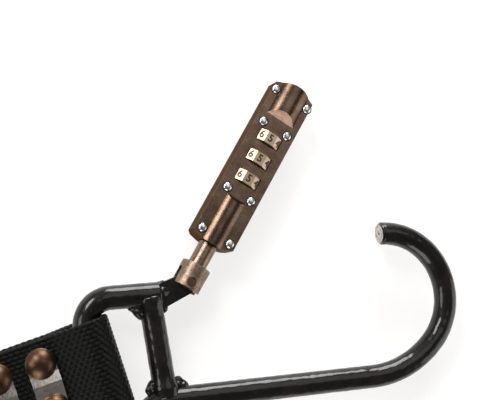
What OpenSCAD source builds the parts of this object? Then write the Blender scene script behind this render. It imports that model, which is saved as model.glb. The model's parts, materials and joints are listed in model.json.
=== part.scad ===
// Luggage strap with a welded steel hook and a three-wheel combination lock.
// The hook lies flat: its rods share one level plane above the ground.
// +X runs along the hook's bottom bar, +Z is up, and the origin is under the middle of the part.

/* [Rod frame] */
// Diameter of the bent rod and of the cross bar
rod_d = 10; // [9:0.5:10]
// Height of the rods' common plane above the ground
plane_z = 10.4; // [10.4:0.1:12]
// Centreline radius of the hook's upper curve
hook_r = 28.5; // [27:0.5:30]
// Centreline radius of the hook's lower curve, where it blends into the bottom bar
heel_r = 43.5; // [42:0.5:45]
// Distance from the cross bar to the start of the hook's lower curve
bar_run = 90; // [85:1:95]
// Angle at which the hook's tip ends, measured round the upper curve
tip_angle = 92; // [80:1:95]
// Height of the top bar above the bottom bar, between centrelines
ring_h = 43; // [42:0.5:44]
// Lean of the strap's bar from the upright
bar_lean = 14; // [13:0.5:15]
// Downward bend of the rod beside the cross bar's foot
foot_turn = 38; // [36:1:40]

/* [Pivot] */
// Place of the pivot pin along the bottom bar
pin_x = 10.5; // [9.5:0.1:11]
// Place of the pivot pin above the bottom bar
pin_y = 46.7; // [45.5:0.1:47]
// Diameter of the pivot pin
pin_d = 4; // [3.5:0.1:4.2]
// Thickness of the flattened tang
tang_t = 5; // [4:0.5:5]
// Diameter of the pivot collar
collar_d = 12.7; // [12:0.1:13]
// Length of plunger that shows between the collar and the lock case
plunger_gap = 10; // [9.6:0.1:11]
// Diameter of the plunger
plunger_d = 8; // [7.5:0.1:8]

/* [Lock] */
// Angle of the lock's axis from the bottom bar
lock_angle = 55.4; // [50:0.2:60]
// Width of the lock case
case_w = 19; // [19:0.5:20]
// Length of the lock case between the tops of its curved ends
case_len = 78.2; // [78:0.2:82]
// Height of the front cover's face above the lock's axis
cover_rise = 5; // [4.9:0.1:5.2]
// Thickness of the front cover
cover_t = 1.2; // [1:0.1:1.4]
// How far the case's ends bow outwards
end_bow = 2.4; // [1.5:0.1:2.5]
// Inside radius of the socket that takes the hook's tip
socket_r = 5.8; // [5.7:0.05:5.9]
// Distance between the middles of two number wheels
wheel_pitch = 10; // [9.9:0.1:10.1]
// Thickness of a number wheel
wheel_t = 5; // [4.6:0.1:5]

/* [Strap] */
// Width of the webbing
strap_w = 38; // [34:1:38]
// Thickness of the webbing
strap_t = 2.5; // [2:0.1:2.5]
// Distance from the strap's bar to the first row of clamp rivets
rivet_row = 21.2; // [21:0.2:26]
// Distance between the two rows of clamp rivets
row_pitch = 18; // [17:0.5:19]
// Distance between the two rivets of a row
rivet_gap = 18.5; // [16:0.1:19]
// Diameter of a clamp rivet's domed head
dome_d = 12.3; // [11.6:0.1:12.6]
// Outside diameter of the rolled-up webbing
roll_d = 66; // [64:1:68]
// Distance from the strap's bar to the middle of the roll
roll_run = 112; // [108:1:118]

/* [End ring] */
// Rod diameter of the ring at the strap's far end
ring_rod_d = 8; // [7:0.5:8]
// Inside width of the end ring, across the strap
ring_w = 46; // [44:1:50]
// Inside length of the end ring, along the strap
ring_len = 22; // [20:1:26]

/* [Hidden] */
$fn = 64;
eps = 0.01;
rod_sides = 28;
arc_step = 6;

// Rod frame
rod_r = rod_d / 2;
heel_c = [bar_run, heel_r];
hook_c = [bar_run + (heel_r - hook_r) * cos(45), heel_r - (heel_r - hook_r) * sin(45)];
foot_x = -1.2;
foot_r = 12;
foot_end = [foot_x - foot_r * sin(foot_turn), -foot_r * (1 - cos(foot_turn))];
corner_r = 11;
corner_c = [-22.5, ring_h - corner_r];
bar_dir = [sin(bar_lean), -cos(bar_lean)];
bar_side = [cos(bar_lean), sin(bar_lean)];
bar_top = corner_c - corner_r * bar_side;
low_r = 10;
low_turn = low_r * [sin(foot_turn), -cos(foot_turn)];
// The strap's bar is as long as lets its lower bend run straight into the foot's bend
gap = foot_end - bar_top - low_r * bar_side - low_turn;
strap_bar_len = (gap[0] * sin(foot_turn) - gap[1] * cos(foot_turn))
    / (bar_dir[0] * sin(foot_turn) - bar_dir[1] * cos(foot_turn));
bar_low = bar_top + strap_bar_len * bar_dir;
// The webbing's middle line crosses the bar a little above the bar's own middle
strap_mid = 14.066;
bar_mid = bar_top + strap_mid * bar_dir;
low_c = bar_low + low_r * bar_side;
low_end = low_c + low_turn;
// The cross bar is a shade thinner than the rod, and its ends are hollowed to sit on it
cross_r = rod_r - 0.1;
cross_top = [-6.2, ring_h];
cross_foot = [-2.2, 0];
cope_run = 15;
top_end_x = -2;
// Each bead of weld metal runs from one point to another with a radius
beads = [
    [[-14.5, 37.6], [-10.6, 33.6], 2.6],
    [[-9.0, 4.9], [-7.6, 7.4], 1.8],
    [[3.4, 7.8], [6.0, 5.3], 2.0]
];

// Pivot and plunger, along the lock's axis from the pin
tang_lean = 21;
tang_len = 17;
tang_tip_r = 4.4;
tang_root_w = 10.4;
tang_hole_r = pin_d / 2 + 0.05;
collar_back = 2.7;
collar_front = 7.8;
slot_w = tang_t + 0.3;
slot_deep = tang_tip_r + 0.1;
spigot_r = 2.5;
pin_half = 5.6;
case_a = collar_front + plunger_gap;
stem_r = 2.6;
shoulder_c = 19.8;
plunger_end_c = 56.4;
groove_c = plunger_end_c - 1.3;
groove_w = 1;
groove_r = stem_r - 0.6;
clip_r = stem_r + 1.2;

// Lock case, along its axis from its lower end
back_deep = plane_z;
// Slopes along the back's long edges, across its lower end and across its upper end
side_slope = 5.6;
low_slope = 5.6;
high_slope = 3.4;
case_r = (case_w * case_w / 4 + end_bow * end_bow) / (2 * end_bow);
first_wheel_c = 32.2;
wheel_c = [for (i = [0 : 2]) first_wheel_c + i * wheel_pitch];
wheel_r = 7.15;
bay_r = 7.4;
bay_w = 5.7;
stem_bore_r = 4.3;
bush_r = 5;
bush_from = 1.8;
bush_to = 18;
bush_fit = 0.05;
entry_r = plunger_d / 2 + 0.3;
mouth_r = socket_r + 0.4;
bore_end_c = 66;
liner_from = 68.2;
liner_to = 77;
liner_r = 6.6;
barrel_top = cover_rise + 6;
wedge = 20;
low_barrel_r = 6.8;
low_barrel_len = 22.4;
high_barrel_r = 8.24;
high_barrel_from = 62;
rivet_rows = [[4.3, 6.8], [24.7, 5.9], [57.6, 6.05], [72.8, 8]];
rivet_head_r = 2;
rivet_head_h = 0.9;
rivet_shank_r = 0.8;
rivet_foot = -3.5;
fit = 0.02;
// Leaf spring under the wheels, in a slot of the rear case
leaf_low = -8.25;
leaf_t = 0.4;
leaf_w = 3;
leaf_over = 4;
leaf_slot_top = -7;
bump_top = -7.35;
bump_half = 1;
hub_r = 4.6;
hub_bore_r = stem_r + 0.06;
key_w = 2.4;
key_r = 4.1;
lug_w = 1.8;
lug_r = 3.8;
lug_len = 1.6;
lug_gap = 0.4;

// Strap, along its length from the strap's bar
loop_in_r = 7.9;
loop_out_r = loop_in_r + strap_t;
stack_from = 15;
stack_to = 54;
touch_down = 80;
plate_t = 1.3;
plate_w = 11.6;
// The plate's ridge: its height, the half widths of its foot and top, and the groove along it
plate_ridge = 0.8;
ridge_foot = 5;
ridge_top = 1;
groove = [-0.3, 0.5, 0.4];
dome_h = 3.6;
tail_head_r = 4.6;
tail_head_h = 1.5;
drop_steps = 28;
rivet_r = 2;
roll_r = roll_d / 2;
roll_foot = sqrt(roll_r * roll_r - pow(roll_r - strap_t, 2)) + 0.4;

// Far end, along the strap from the middle of the roll
end_loop_in_r = ring_rod_d / 2 + 1;
end_loop_out_r = end_loop_in_r + strap_t;
end_z = end_loop_out_r;
end_bar = 116;
end_corner_r = 8;
// Ramp of webbing between the ground and the roll's far side, measured back from the ring
roll_gap = end_bar - roll_r;
ramp_foot = [roll_gap - 19, roll_gap - 15];
ramp_top = [roll_gap - 4, roll_gap - 1];
ramp_rise = 38;

// The part's extent over the ground: the hook's bend, the end ring's far corners and the case's top corner
far_u = roll_run + end_bar + ring_len + ring_rod_d - end_corner_r;
far_v = (ring_w + ring_rod_d) / 2 - end_corner_r;
far_out = end_corner_r + ring_rod_d / 2;
most_x = hook_c[0] + hook_r + rod_r;
least_x = bar_mid[0] - far_u * cos(bar_lean) - far_v * sin(bar_lean) - far_out;
most_y = pin_y + (case_a + case_len - end_bow) * sin(lock_angle) + case_w / 2 * cos(lock_angle);
least_y = bar_mid[1] - far_u * sin(bar_lean) - far_v * cos(bar_lean) - far_out;
// The point midway along the part and across it, which is put over the origin
mid_x = (most_x + least_x) / 2;
mid_y = (most_y + least_y) / 2;

// ---------- helpers ----------

// Points of an arc about c, from angle a to angle b
function arc_points(c, r, a, b) =
    let (steps = max(2, ceil(abs(b - a) / arc_step)))
    [for (i = [0 : steps]) c + r * [cos(a + (b - a) * i / steps), sin(a + (b - a) * i / steps)]];

// Direction of a flat path at its point i
function heading(path, i) =
    let (
        last = len(path) - 1,
        d = path[min(i + 1, last)] - path[max(i - 1, 0)]
    )
    d / norm(d);

// One round rod along a flat path
module swept_rod(path, r) {
    rings = [
        for (i = [0 : len(path) - 1])
            let (t = heading(path, i))
            for (k = [0 : rod_sides - 1])
                let (a = 360 * k / rod_sides)
                [path[i][0] - t[1] * r * cos(a), path[i][1] + t[0] * r * cos(a), r * sin(a)]
    ];
    sides = [
        for (i = [0 : len(path) - 2])
            for (k = [0 : rod_sides - 1])
                let (
                    next = (k + 1) % rod_sides,
                    base = i * rod_sides
                )
                [base + k, base + next, base + rod_sides + next, base + rod_sides + k]
    ];
    near_cap = [for (k = [rod_sides - 1 : -1 : 0]) k];
    far_cap = [for (k = [0 : rod_sides - 1]) (len(path) - 1) * rod_sides + k];
    polyhedron(points = rings, faces = concat([near_cap], sides, [far_cap]), convexity = 8);
}

// A round rod between two points of the plane
module rod_between(p, q, r) {
    d = q - p;
    translate([p[0], p[1], 0])
        rotate([0, 0, atan2(d[1], d[0])])
            rotate([0, 90, 0])
                cylinder(r = r, h = norm(d));
}

// A round rod bent about the centre c, from angle a to angle b
module rod_arc(c, bend_r, a, b, r) {
    translate([c[0], c[1], 0])
        rotate([0, 0, a])
            rotate_extrude(angle = b - a, $fn = 128)
                translate([bend_r, 0])
                    circle(r = r);
}

// Cylinder along the local X axis, from one place to another
module shaft(r, from, to) {
    translate([from, 0, 0])
        rotate([0, 90, 0])
            cylinder(r = r, h = to - from);
}

// Box along the local X axis, centred across it
module beam(from, to, w, low, high) {
    translate([from, -w / 2, low])
        cube([to - from, w, high - low]);
}

module in_plane() {
    translate([-mid_x, -mid_y, plane_z])
        children();
}

module at_lock() {
    in_plane()
        translate([pin_x, pin_y, 0])
            rotate([0, 0, lock_angle])
                children();
}

module at_case() {
    at_lock()
        translate([case_a, 0, 0])
            children();
}

// X runs away from the hook along the strap, Y along the strap's bar, Z = 0 at the rods' plane
module at_strap() {
    in_plane()
        translate([bar_mid[0], bar_mid[1], 0])
            rotate([0, 0, 180 + bar_lean])
                children();
}

// The same directions at the far end's bar, turned round so that X runs back to the roll
module at_far_end() {
    at_strap()
        translate([roll_run + end_bar, 0, end_z - plane_z])
            rotate([0, 0, 180])
                children();
}

// ---------- welded frame ----------

module hook_rod() {
    path = concat(
        arc_points(hook_c, hook_r, tip_angle, -45),
        arc_points(heel_c, heel_r, -50, -90),
        [[bar_run / 2, 0]],
        arc_points([foot_x, -foot_r], foot_r, 90, 90 + foot_turn),
        arc_points(low_c, low_r, 270 + foot_turn, 180 + bar_lean),
        arc_points(corner_c, corner_r, 180 + bar_lean, 90),
        [[top_end_x, ring_h]]
    );
    color([0.07, 0.065, 0.06])
        in_plane()
            swept_rod(path, rod_r);
}

// The stretches of the bent rod that other welded pieces meet
module rod_at_welds() {
    rod_between([foot_x, 0], [bar_run, 0], rod_r);
    rod_arc([foot_x, -foot_r], foot_r, 90, 90 + foot_turn, rod_r);
    rod_between([corner_c[0], ring_h], [top_end_x, ring_h], rod_r);
}

module cross_solid() {
    rod_between(cross_foot, cross_top, cross_r);
}

module cross_bar() {
    color([0.07, 0.065, 0.06])
        in_plane()
            difference() {
                cross_solid();
                for (y = [0, ring_h])
                    rod_between([cross_top[0] - cope_run, y], [cross_foot[0] + cope_run, y], rod_r);
            }
}

// Flat bar that carries the pin, rounded about the pin
module tang_solid() {
    translate([pin_x, pin_y, -tang_t / 2])
        rotate([0, 0, 180 + tang_lean]) {
            cylinder(r = tang_tip_r, h = tang_t);
            linear_extrude(height = tang_t)
                polygon([
                    [0, -tang_tip_r],
                    [tang_len, -tang_root_w / 2],
                    [tang_len, tang_root_w / 2],
                    [0, tang_tip_r]
                ]);
        }
}

module pivot_tang() {
    color([0.06, 0.055, 0.05])
        in_plane()
            difference() {
                tang_solid();
                translate([pin_x, pin_y, -tang_t])
                    cylinder(r = tang_hole_r, h = 2 * tang_t);
                rod_at_welds();
                cross_solid();
            }
}

// Short ridges of weld metal, sunk into the rods that they join
module weld_beads() {
    color([0.05, 0.05, 0.05])
        in_plane()
            for (bead = beads)
                hull()
                    for (end = [bead[0], bead[1]])
                        translate([end[0], end[1], 0])
                            sphere(r = bead[2], $fn = 20);
}

// ---------- pivot ----------

module pivot_pin() {
    color([0.62, 0.52, 0.45])
        at_lock()
            translate([0, 0, -pin_half])
                cylinder(r = pin_d / 2, h = 2 * pin_half);
}

module pivot_collar() {
    color([0.58, 0.48, 0.4])
        at_lock()
            difference() {
                shaft(collar_d / 2, -collar_back, collar_front);
                beam(-collar_back - 1, slot_deep, collar_d + 2, -slot_w / 2, slot_w / 2);
                translate([0, 0, -collar_d])
                    cylinder(r = pin_d / 2 + fit, h = 2 * collar_d);
                shaft(spigot_r + fit, slot_deep - 1, collar_front + 1);
            }
}

module lug(c) {
    translate([c - lug_len, -lug_w / 2, -lug_r])
        cube([lug_len, lug_w, lug_r]);
}

module plunger_rod() {
    color([0.55, 0.47, 0.42])
        at_lock()
            difference() {
                union() {
                    shaft(spigot_r, slot_deep, collar_front + eps);
                    shaft(plunger_d / 2, collar_front, case_a + shoulder_c);
                    translate([case_a, 0, 0]) {
                        shaft(stem_r, shoulder_c - eps, plunger_end_c);
                        for (c = wheel_c)
                            lug(c - wheel_t / 2 - lug_gap);
                    }
                }
                translate([case_a, 0, 0])
                    difference() {
                        shaft(stem_r + 1, groove_c, groove_c + groove_w);
                        shaft(groove_r, groove_c - 1, plunger_end_c);
                    }
            }
}

module plunger_clip() {
    color("silver")
        at_case()
            difference() {
                shaft(clip_r, groove_c + 0.05, groove_c + groove_w - 0.05);
                shaft(groove_r + fit, groove_c - 1, plunger_end_c);
            }
}

// ---------- lock case ----------

// Upright block with bowed ends, over the case's outline
module case_block(low, high) {
    beam(end_bow, case_len - end_bow, case_w, low, high);
    intersection() {
        translate([case_r, 0, low])
            cylinder(r = case_r, h = high - low, $fn = 128);
        beam(-1, end_bow, case_w, low, high);
    }
    intersection() {
        translate([case_len - case_r, 0, low])
            cylinder(r = case_r, h = high - low, $fn = 128);
        beam(case_len - end_bow, case_len + 1, case_w, low, high);
    }
}

// Spaces inside the case: bush seat, stem bore, wheel bays and the socket
module case_hollows() {
    shaft(bush_r + fit, bush_from, bush_to);
    shaft(entry_r, -1, bush_from + eps);
    shaft(stem_bore_r, bush_to - eps, bore_end_c);
    shaft(liner_r + fit, liner_from, liner_to);
    shaft(mouth_r, liner_to - eps, case_len + 1);
    for (c = wheel_c)
        shaft(bay_r, c - bay_w / 2, c + bay_w / 2);
}

module rivet_holes() {
    for (row = rivet_rows)
        for (side = [-1, 1])
            translate([row[0], side * row[1], rivet_foot - 0.5])
                cylinder(r = rivet_shank_r + fit, h = barrel_top - rivet_foot);
}

// Flat seats that let each rivet's head stand beside a barrel
module rivet_seats() {
    for (row = rivet_rows)
        for (side = [-1, 1])
            translate([row[0], side * row[1], cover_rise])
                cylinder(r = rivet_head_r + fit, h = barrel_top);
}

// Leaf's outline along the case, grown by a gap and closed at the given height
module leaf_block(grow, top) {
    over = leaf_over + grow;
    beam(wheel_c[0] - over, wheel_c[2] + over, leaf_w + 2 * grow, leaf_low - grow, top);
}

// Corner of the outline that a slope of size s takes off, for an edge at the given place
module corner_off(edge, s, way) {
    polygon([
        [edge - way * (s + 1), -back_deep - 1],
        [edge + way, -back_deep - 1],
        [edge + way, -back_deep + s + 1]
    ]);
}

// Slopes that narrow the case towards its back
module back_slopes() {
    for (way = [-1, 1])
        translate([-1, 0, 0])
            rotate([90, 0, 90])
                linear_extrude(height = case_len + 2)
                    corner_off(way * case_w / 2, side_slope, way);
    rotate([90, 0, 0])
        linear_extrude(height = case_w + 2, center = true) {
            corner_off(0, low_slope, -1);
            corner_off(case_len, high_slope, 1);
        }
}

module rear_case() {
    color([0.3, 0.24, 0.2])
        at_case()
            difference() {
                case_block(-back_deep, cover_rise - cover_t);
                back_slopes();
                case_hollows();
                rivet_holes();
                leaf_block(fit, leaf_slot_top);
            }
}

module low_barrel() {
    difference() {
        shaft(low_barrel_r, 0, low_barrel_len);
        translate([low_barrel_len, 0, cover_rise])
            rotate([0, -45, 0])
                beam(0, wedge, wedge, -wedge / 2, wedge / 2);
    }
}

module high_barrel() {
    difference() {
        shaft(high_barrel_r, high_barrel_from, case_len);
        translate([high_barrel_from, 0, cover_rise])
            rotate([0, 45, 0])
                beam(-wedge, 0, wedge, -wedge / 2, wedge / 2);
    }
}

module front_cover() {
    color([0.31, 0.24, 0.2])
        at_case()
            difference() {
                intersection() {
                    union() {
                        case_block(cover_rise - cover_t, cover_rise);
                        low_barrel();
                        high_barrel();
                    }
                    case_block(cover_rise - cover_t, barrel_top);
                }
                case_hollows();
                rivet_holes();
                rivet_seats();
            }
}

module cover_rivets() {
    color([0.78, 0.77, 0.75])
        at_case()
            for (row = rivet_rows)
                for (side = [-1, 1])
                    translate([row[0], side * row[1], 0]) {
                        translate([0, 0, rivet_foot])
                            cylinder(r = rivet_shank_r, h = cover_rise + 0.2 - rivet_foot);
                        translate([0, 0, cover_rise])
                            dome(rivet_head_r, rivet_head_h);
                    }
}

// Spherical cap of radius r at its foot and height h
module dome(r, h) {
    ball = (r * r + h * h) / (2 * h);
    intersection() {
        translate([0, 0, h - ball])
            sphere(r = ball);
        cylinder(r = r + 1, h = h + 1);
    }
}

module plunger_bush() {
    color([0.7, 0.58, 0.35])
        at_case()
            difference() {
                shaft(bush_r, bush_from, bush_to);
                shaft(plunger_d / 2 + bush_fit, 0, bush_to + 1);
            }
}

module socket_liner() {
    color([0.45, 0.42, 0.4])
        at_case()
            difference() {
                shaft(liner_r, liner_from, liner_to);
                shaft(socket_r, liner_from - 1, liner_to + 1);
            }
}

// Leaf with one low bump under each wheel
module detent_spring() {
    color("silver")
        at_case() {
            leaf_block(0, leaf_low + leaf_t);
            for (c = wheel_c)
                beam(c - bump_half, c + bump_half, leaf_w, leaf_low + leaf_t - eps, bump_top);
        }
}

module number_wheel(i) {
    color([0.85, 0.78, 0.66])
        at_case()
            difference() {
                translate([wheel_c[i] - wheel_t / 2, 0, 0])
                    rotate([0, 90, 0])
                        rotate([0, 0, 18])
                            cylinder(r = wheel_r, h = wheel_t, $fn = 10);
                shaft(hub_r + fit, wheel_c[i] - wheel_t, wheel_c[i] + wheel_t);
            }
}

module number_wheel_1() { number_wheel(0); }
module number_wheel_2() { number_wheel(1); }
module number_wheel_3() { number_wheel(2); }

module wheel_hub(i) {
    color([0.72, 0.6, 0.35])
        at_case()
            difference() {
                shaft(hub_r, wheel_c[i] - wheel_t / 2, wheel_c[i] + wheel_t / 2);
                shaft(hub_bore_r, wheel_c[i] - wheel_t, wheel_c[i] + wheel_t);
                beam(wheel_c[i] - wheel_t, wheel_c[i] + wheel_t, key_w, -key_r, 0);
            }
}

module wheel_hub_1() { wheel_hub(0); }
module wheel_hub_2() { wheel_hub(1); }
module wheel_hub_3() { wheel_hub(2); }

// ---------- strap ----------

// Drop-shaped outline: a round end of radius r and two straight legs that meet a stack of half height h
module drop(r, h, to) {
    turn = acos(r / norm([to, h])) + atan2(h, to);
    step = (360 - 2 * turn) / drop_steps;
    arc = [for (i = [0 : drop_steps]) [r * cos(turn + i * step), r * sin(turn + i * step)]];
    polygon(concat(arc, [[to, -h], [to, h]]));
}

// Webbing folded round a bar, as far as the start of the riveted stack
module loop_solid(in_r, out_r, to) {
    rotate([90, 0, 0])
        difference() {
            linear_extrude(height = strap_w, center = true)
                difference() {
                    drop(out_r, strap_t, to);
                    drop(in_r - 0.1, 0.05, to - 2);
                }
            cylinder(r = in_r, h = strap_w + 2, center = true);
        }
}

module shank_holes(r) {
    for (row = [0, 1])
        for (side = [-1, 1])
            translate([rivet_row + row * row_pitch, side * rivet_gap / 2, -10])
                cylinder(r = r, h = 20);
}

// Riveted stack of two layers, then one layer that comes down to the height of the ground
module band(from, to, low_from, ground, end) {
    rotate([90, 0, 0])
        linear_extrude(height = strap_w, center = true)
            polygon([
                [from, strap_t],
                [to, strap_t],
                [to, 0],
                [low_from, ground + strap_t],
                [end, ground + strap_t],
                [end, ground],
                [low_from - 4, ground],
                [to + 2, -strap_t],
                [from, -strap_t]
            ]);
}

module webbing_loop() {
    color([0.05, 0.05, 0.05])
        at_strap()
            loop_solid(loop_in_r, loop_out_r, stack_from);
}

module webbing_run() {
    color([0.05, 0.05, 0.05])
        at_strap()
            difference() {
                band(stack_from, stack_to, touch_down, -plane_z, roll_run - roll_foot);
                shank_holes(rivet_r + fit);
            }
}

module webbing_roll() {
    color([0.05, 0.05, 0.05])
        at_strap()
            translate([roll_run, strap_w / 2, roll_r - plane_z])
                rotate([90, 0, 0])
                    cylinder(r = roll_r, h = strap_w, $fn = 96);
}

// Far end of the strap: down from the roll's far side, then a riveted stack folded round the ring
module webbing_tail() {
    color([0.05, 0.05, 0.05])
        at_far_end()
            difference() {
                union() {
                    loop_solid(end_loop_in_r, end_loop_out_r, stack_from);
                    band(stack_from - 1, stack_to, stack_to + 10, -end_z, ramp_foot[1] + 1);
                    rotate([90, 0, 0])
                        linear_extrude(height = strap_w, center = true)
                            polygon([
                                [ramp_foot[0], -end_z],
                                [ramp_foot[1], -end_z],
                                [ramp_top[1], ramp_rise],
                                [ramp_top[0], ramp_rise]
                            ]);
                }
                shank_holes(rivet_r + fit);
            }
}

// Strip across the strap with round ends, folded to a low ridge with a groove along it
module clamp_plate() {
    rise = plate_t + plate_ridge;
    intersection() {
        union() {
            translate([-plate_w / 2, -rivet_gap / 2, 0])
                cube([plate_w, rivet_gap, 2 * rise]);
            for (side = [-1, 1])
                translate([0, side * rivet_gap / 2, 0])
                    cylinder(r = plate_w / 2, h = 2 * rise);
        }
        rotate([90, 0, 90])
            linear_extrude(height = plate_w + 2, center = true)
                polygon([
                    [-strap_w / 2, 0],
                    [strap_w / 2, 0],
                    [strap_w / 2, plate_t],
                    [ridge_foot, plate_t],
                    [ridge_top, rise],
                    [groove[1], rise],
                    [groove[1], rise - groove[2]],
                    [groove[0], rise - groove[2]],
                    [groove[0], rise],
                    [-ridge_top, rise],
                    [-ridge_foot, plate_t],
                    [-strap_w / 2, plate_t]
                ]);
    }
}

// Both plates of a stack, with a flat round seat under each domed head
module plate_pair() {
    difference() {
        for (row = [0, 1])
            translate([rivet_row + row * row_pitch, 0, strap_t])
                clamp_plate();
        shank_holes(rivet_r + fit);
        translate([0, 0, 10 + strap_t + plate_t])
            shank_holes(dome_d / 2 + fit);
    }
}

module rivet_set() {
    for (row = [0, 1])
        for (side = [-1, 1])
            translate([rivet_row + row * row_pitch, side * rivet_gap / 2, 0]) {
                translate([0, 0, -strap_t - plate_t - 0.2])
                    cylinder(r = rivet_r, h = 2 * (strap_t + plate_t) + 0.4);
                translate([0, 0, strap_t + plate_t])
                    dome(dome_d / 2, dome_h);
                mirror([0, 0, 1])
                    translate([0, 0, strap_t + plate_t])
                        dome(tail_head_r, tail_head_h);
            }
}

module clamp_plates_front() {
    color([0.72, 0.62, 0.52])
        at_strap()
            plate_pair();
}

module clamp_plates_back() {
    color([0.72, 0.62, 0.52])
        at_strap()
            mirror([0, 0, 1])
                plate_pair();
}

module clamp_rivets() {
    color([0.42, 0.3, 0.2])
        at_strap()
            rivet_set();
}

module end_plates_front() {
    color([0.72, 0.62, 0.52])
        at_far_end()
            plate_pair();
}

module end_plates_back() {
    color([0.72, 0.62, 0.52])
        at_far_end()
            mirror([0, 0, 1])
                plate_pair();
}

module end_rivets() {
    color([0.42, 0.3, 0.2])
        at_far_end()
            rivet_set();
}

// Rectangular welded ring: its near bar lies in the strap's far loop
module end_ring() {
    r = ring_rod_d / 2;
    out = ring_len + ring_rod_d;
    half = (ring_w + ring_rod_d) / 2;
    k = end_corner_r;
    color([0.07, 0.065, 0.06])
        at_far_end()
            mirror([1, 0, 0])
                for (side = [-1, 1])
                    scale([1, side, 1]) {
                        rod_between([0, 0], [0, half - k], r);
                        rod_arc([k, half - k], k, 90, 180, r);
                        rod_between([k, half], [out - k, half], r);
                        rod_arc([out - k, half - k], k, 0, 90, r);
                        rod_between([out, half - k], [out, 0], r);
                    }
}

hook_rod();
cross_bar();
weld_beads();
pivot_tang();
pivot_pin();
pivot_collar();
plunger_rod();
plunger_clip();
rear_case();
front_cover();
cover_rivets();
plunger_bush();
socket_liner();
detent_spring();
number_wheel_1();
number_wheel_2();
number_wheel_3();
wheel_hub_1();
wheel_hub_2();
wheel_hub_3();
webbing_loop();
webbing_run();
webbing_roll();
webbing_tail();
clamp_plates_front();
clamp_plates_back();
clamp_rivets();
end_plates_front();
end_plates_back();
end_rivets();
end_ring();
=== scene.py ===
# Luggage strap with a locking hook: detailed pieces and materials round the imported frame.
import json
import math

import bmesh
import bpy
from mathutils import Matrix, Vector, noise


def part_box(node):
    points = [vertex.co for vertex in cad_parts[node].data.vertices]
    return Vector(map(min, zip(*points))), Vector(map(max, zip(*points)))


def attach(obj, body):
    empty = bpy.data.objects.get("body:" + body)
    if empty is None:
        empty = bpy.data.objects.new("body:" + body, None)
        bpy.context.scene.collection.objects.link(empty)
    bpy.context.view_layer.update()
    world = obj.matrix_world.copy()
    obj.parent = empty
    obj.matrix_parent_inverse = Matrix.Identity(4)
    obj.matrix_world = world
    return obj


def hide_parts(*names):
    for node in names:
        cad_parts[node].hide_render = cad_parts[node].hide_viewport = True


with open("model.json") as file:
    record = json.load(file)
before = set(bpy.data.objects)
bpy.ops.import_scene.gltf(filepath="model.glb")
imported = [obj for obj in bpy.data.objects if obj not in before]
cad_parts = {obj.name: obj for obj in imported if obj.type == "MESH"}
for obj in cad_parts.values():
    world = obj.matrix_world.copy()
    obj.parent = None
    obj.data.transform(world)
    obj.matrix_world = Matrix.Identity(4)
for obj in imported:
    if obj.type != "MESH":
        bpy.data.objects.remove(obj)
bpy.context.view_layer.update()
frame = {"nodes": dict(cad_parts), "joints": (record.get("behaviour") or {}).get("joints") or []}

MM = 0.001
UP = Vector((0, 0, 1))

# ---------- places, from the frame ----------

JOINTS = {j["name"]: j for j in frame["joints"]}


def axes_at(origin, x_axis):
    """Matrix from a local frame in millimetres, whose Z is up, to the row frame in metres."""
    x = Vector(x_axis).normalized()
    y = UP.cross(x)
    turn = Matrix((x, y, UP)).transposed().to_4x4()
    return Matrix.Translation(Vector(origin)) @ turn @ Matrix.Scale(MM, 4)


# Pivot pin's place in the rod frame's own coordinates, as in part.scad
PIN_X, PIN_Y = 10.5, 46.7
PIN = Vector(JOINTS["lock_swing"]["pos_m"])
RODS = axes_at(PIN - Vector((PIN_X, PIN_Y, 0)) * MM, (1, 0, 0))
LOCK_AXIS = Vector(JOINTS["lock_slide"]["axis"]).normalized()
CASE_A = 17.8
CASE = axes_at(PIN + LOCK_AXIS * CASE_A * MM, LOCK_AXIS)
BAR_AXIS = Vector(JOINTS["strap_swing"]["axis"]).normalized()
STRAP = axes_at(JOINTS["strap_swing"]["pos_m"], BAR_AXIS.cross(UP))
FAR = axes_at(JOINTS["end_ring_swing"]["pos_m"], -BAR_AXIS.cross(UP))
PLANE_Z = PIN.z / MM

# ---------- sizes, in millimetres, as in part.scad ----------

ROD_R = 5.0
ROD_SIDES = 44
HOOK_C, HOOK_R, TIP_ANGLE = (100.607, 32.893), 28.5, 92
HEEL_C, HEEL_R = (90, 43.5), 43.5
FOOT_X, FOOT_R, FOOT_TURN = -1.2, 12, 38
RING_H = 43
CORNER_R, CORNER_C = 11, (-22.5, 32)
BAR_LEAN = 14
LOW_R = 10
CROSS_TOP, CROSS_FOOT = (-6.2, 43), (-2.2, 0)
WHEEL_C = (32.2, 42.2, 52.2)
WHEEL_FLAT = 7.15 * math.cos(math.radians(18))
RIVET_ROWS = ((4.3, 6.8), (24.7, 5.9), (57.6, 6.05), (72.8, 8.0))
COVER_RISE = 5.0
STRAP_W = 38.0
WEB_T = 2.3
LAYER = 1.25
RIVET_U = (21.2, 39.2)
RIVET_V = 9.25
STACK_START, STACK_END = 15.0, 54.0
LOOP_R = 9.15
ROLL_U, ROLL_R = 112.0, 33.0
FAR_BAR = 116.0
END_Z = 7.5
RING_LOOP_R = 6.25
DOME_R, DOME_H = 6.15, 3.6
HEAD_Z = 3.8
RING_W, RING_LEN, RING_R, RING_CORNER = 46, 22, 4, 8

# ---------- node materials ----------


def new_material(name, colour, metallic, rough, coat=0.0, coat_rough=0.1, spec=0.5):
    """A material with one Principled shader; its constants sit on the shader's own sockets."""
    mat = bpy.data.materials.new(name)
    mat.use_nodes = True
    shader = mat.node_tree.nodes["Principled BSDF"]
    for socket, value in (
        ("Base Color", (*colour, 1)),
        ("Metallic", metallic),
        ("Roughness", rough),
        ("Coat Weight", coat),
        ("Coat Roughness", coat_rough),
        ("Specular IOR Level", spec),
    ):
        shader.inputs[socket].default_value = value
    return mat, mat.node_tree, shader


def add(tree, kind, **inputs):
    node = tree.nodes.new(kind)
    for key, value in inputs.items():
        node.inputs[key.replace("_", " ")].default_value = value
    return node


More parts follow.
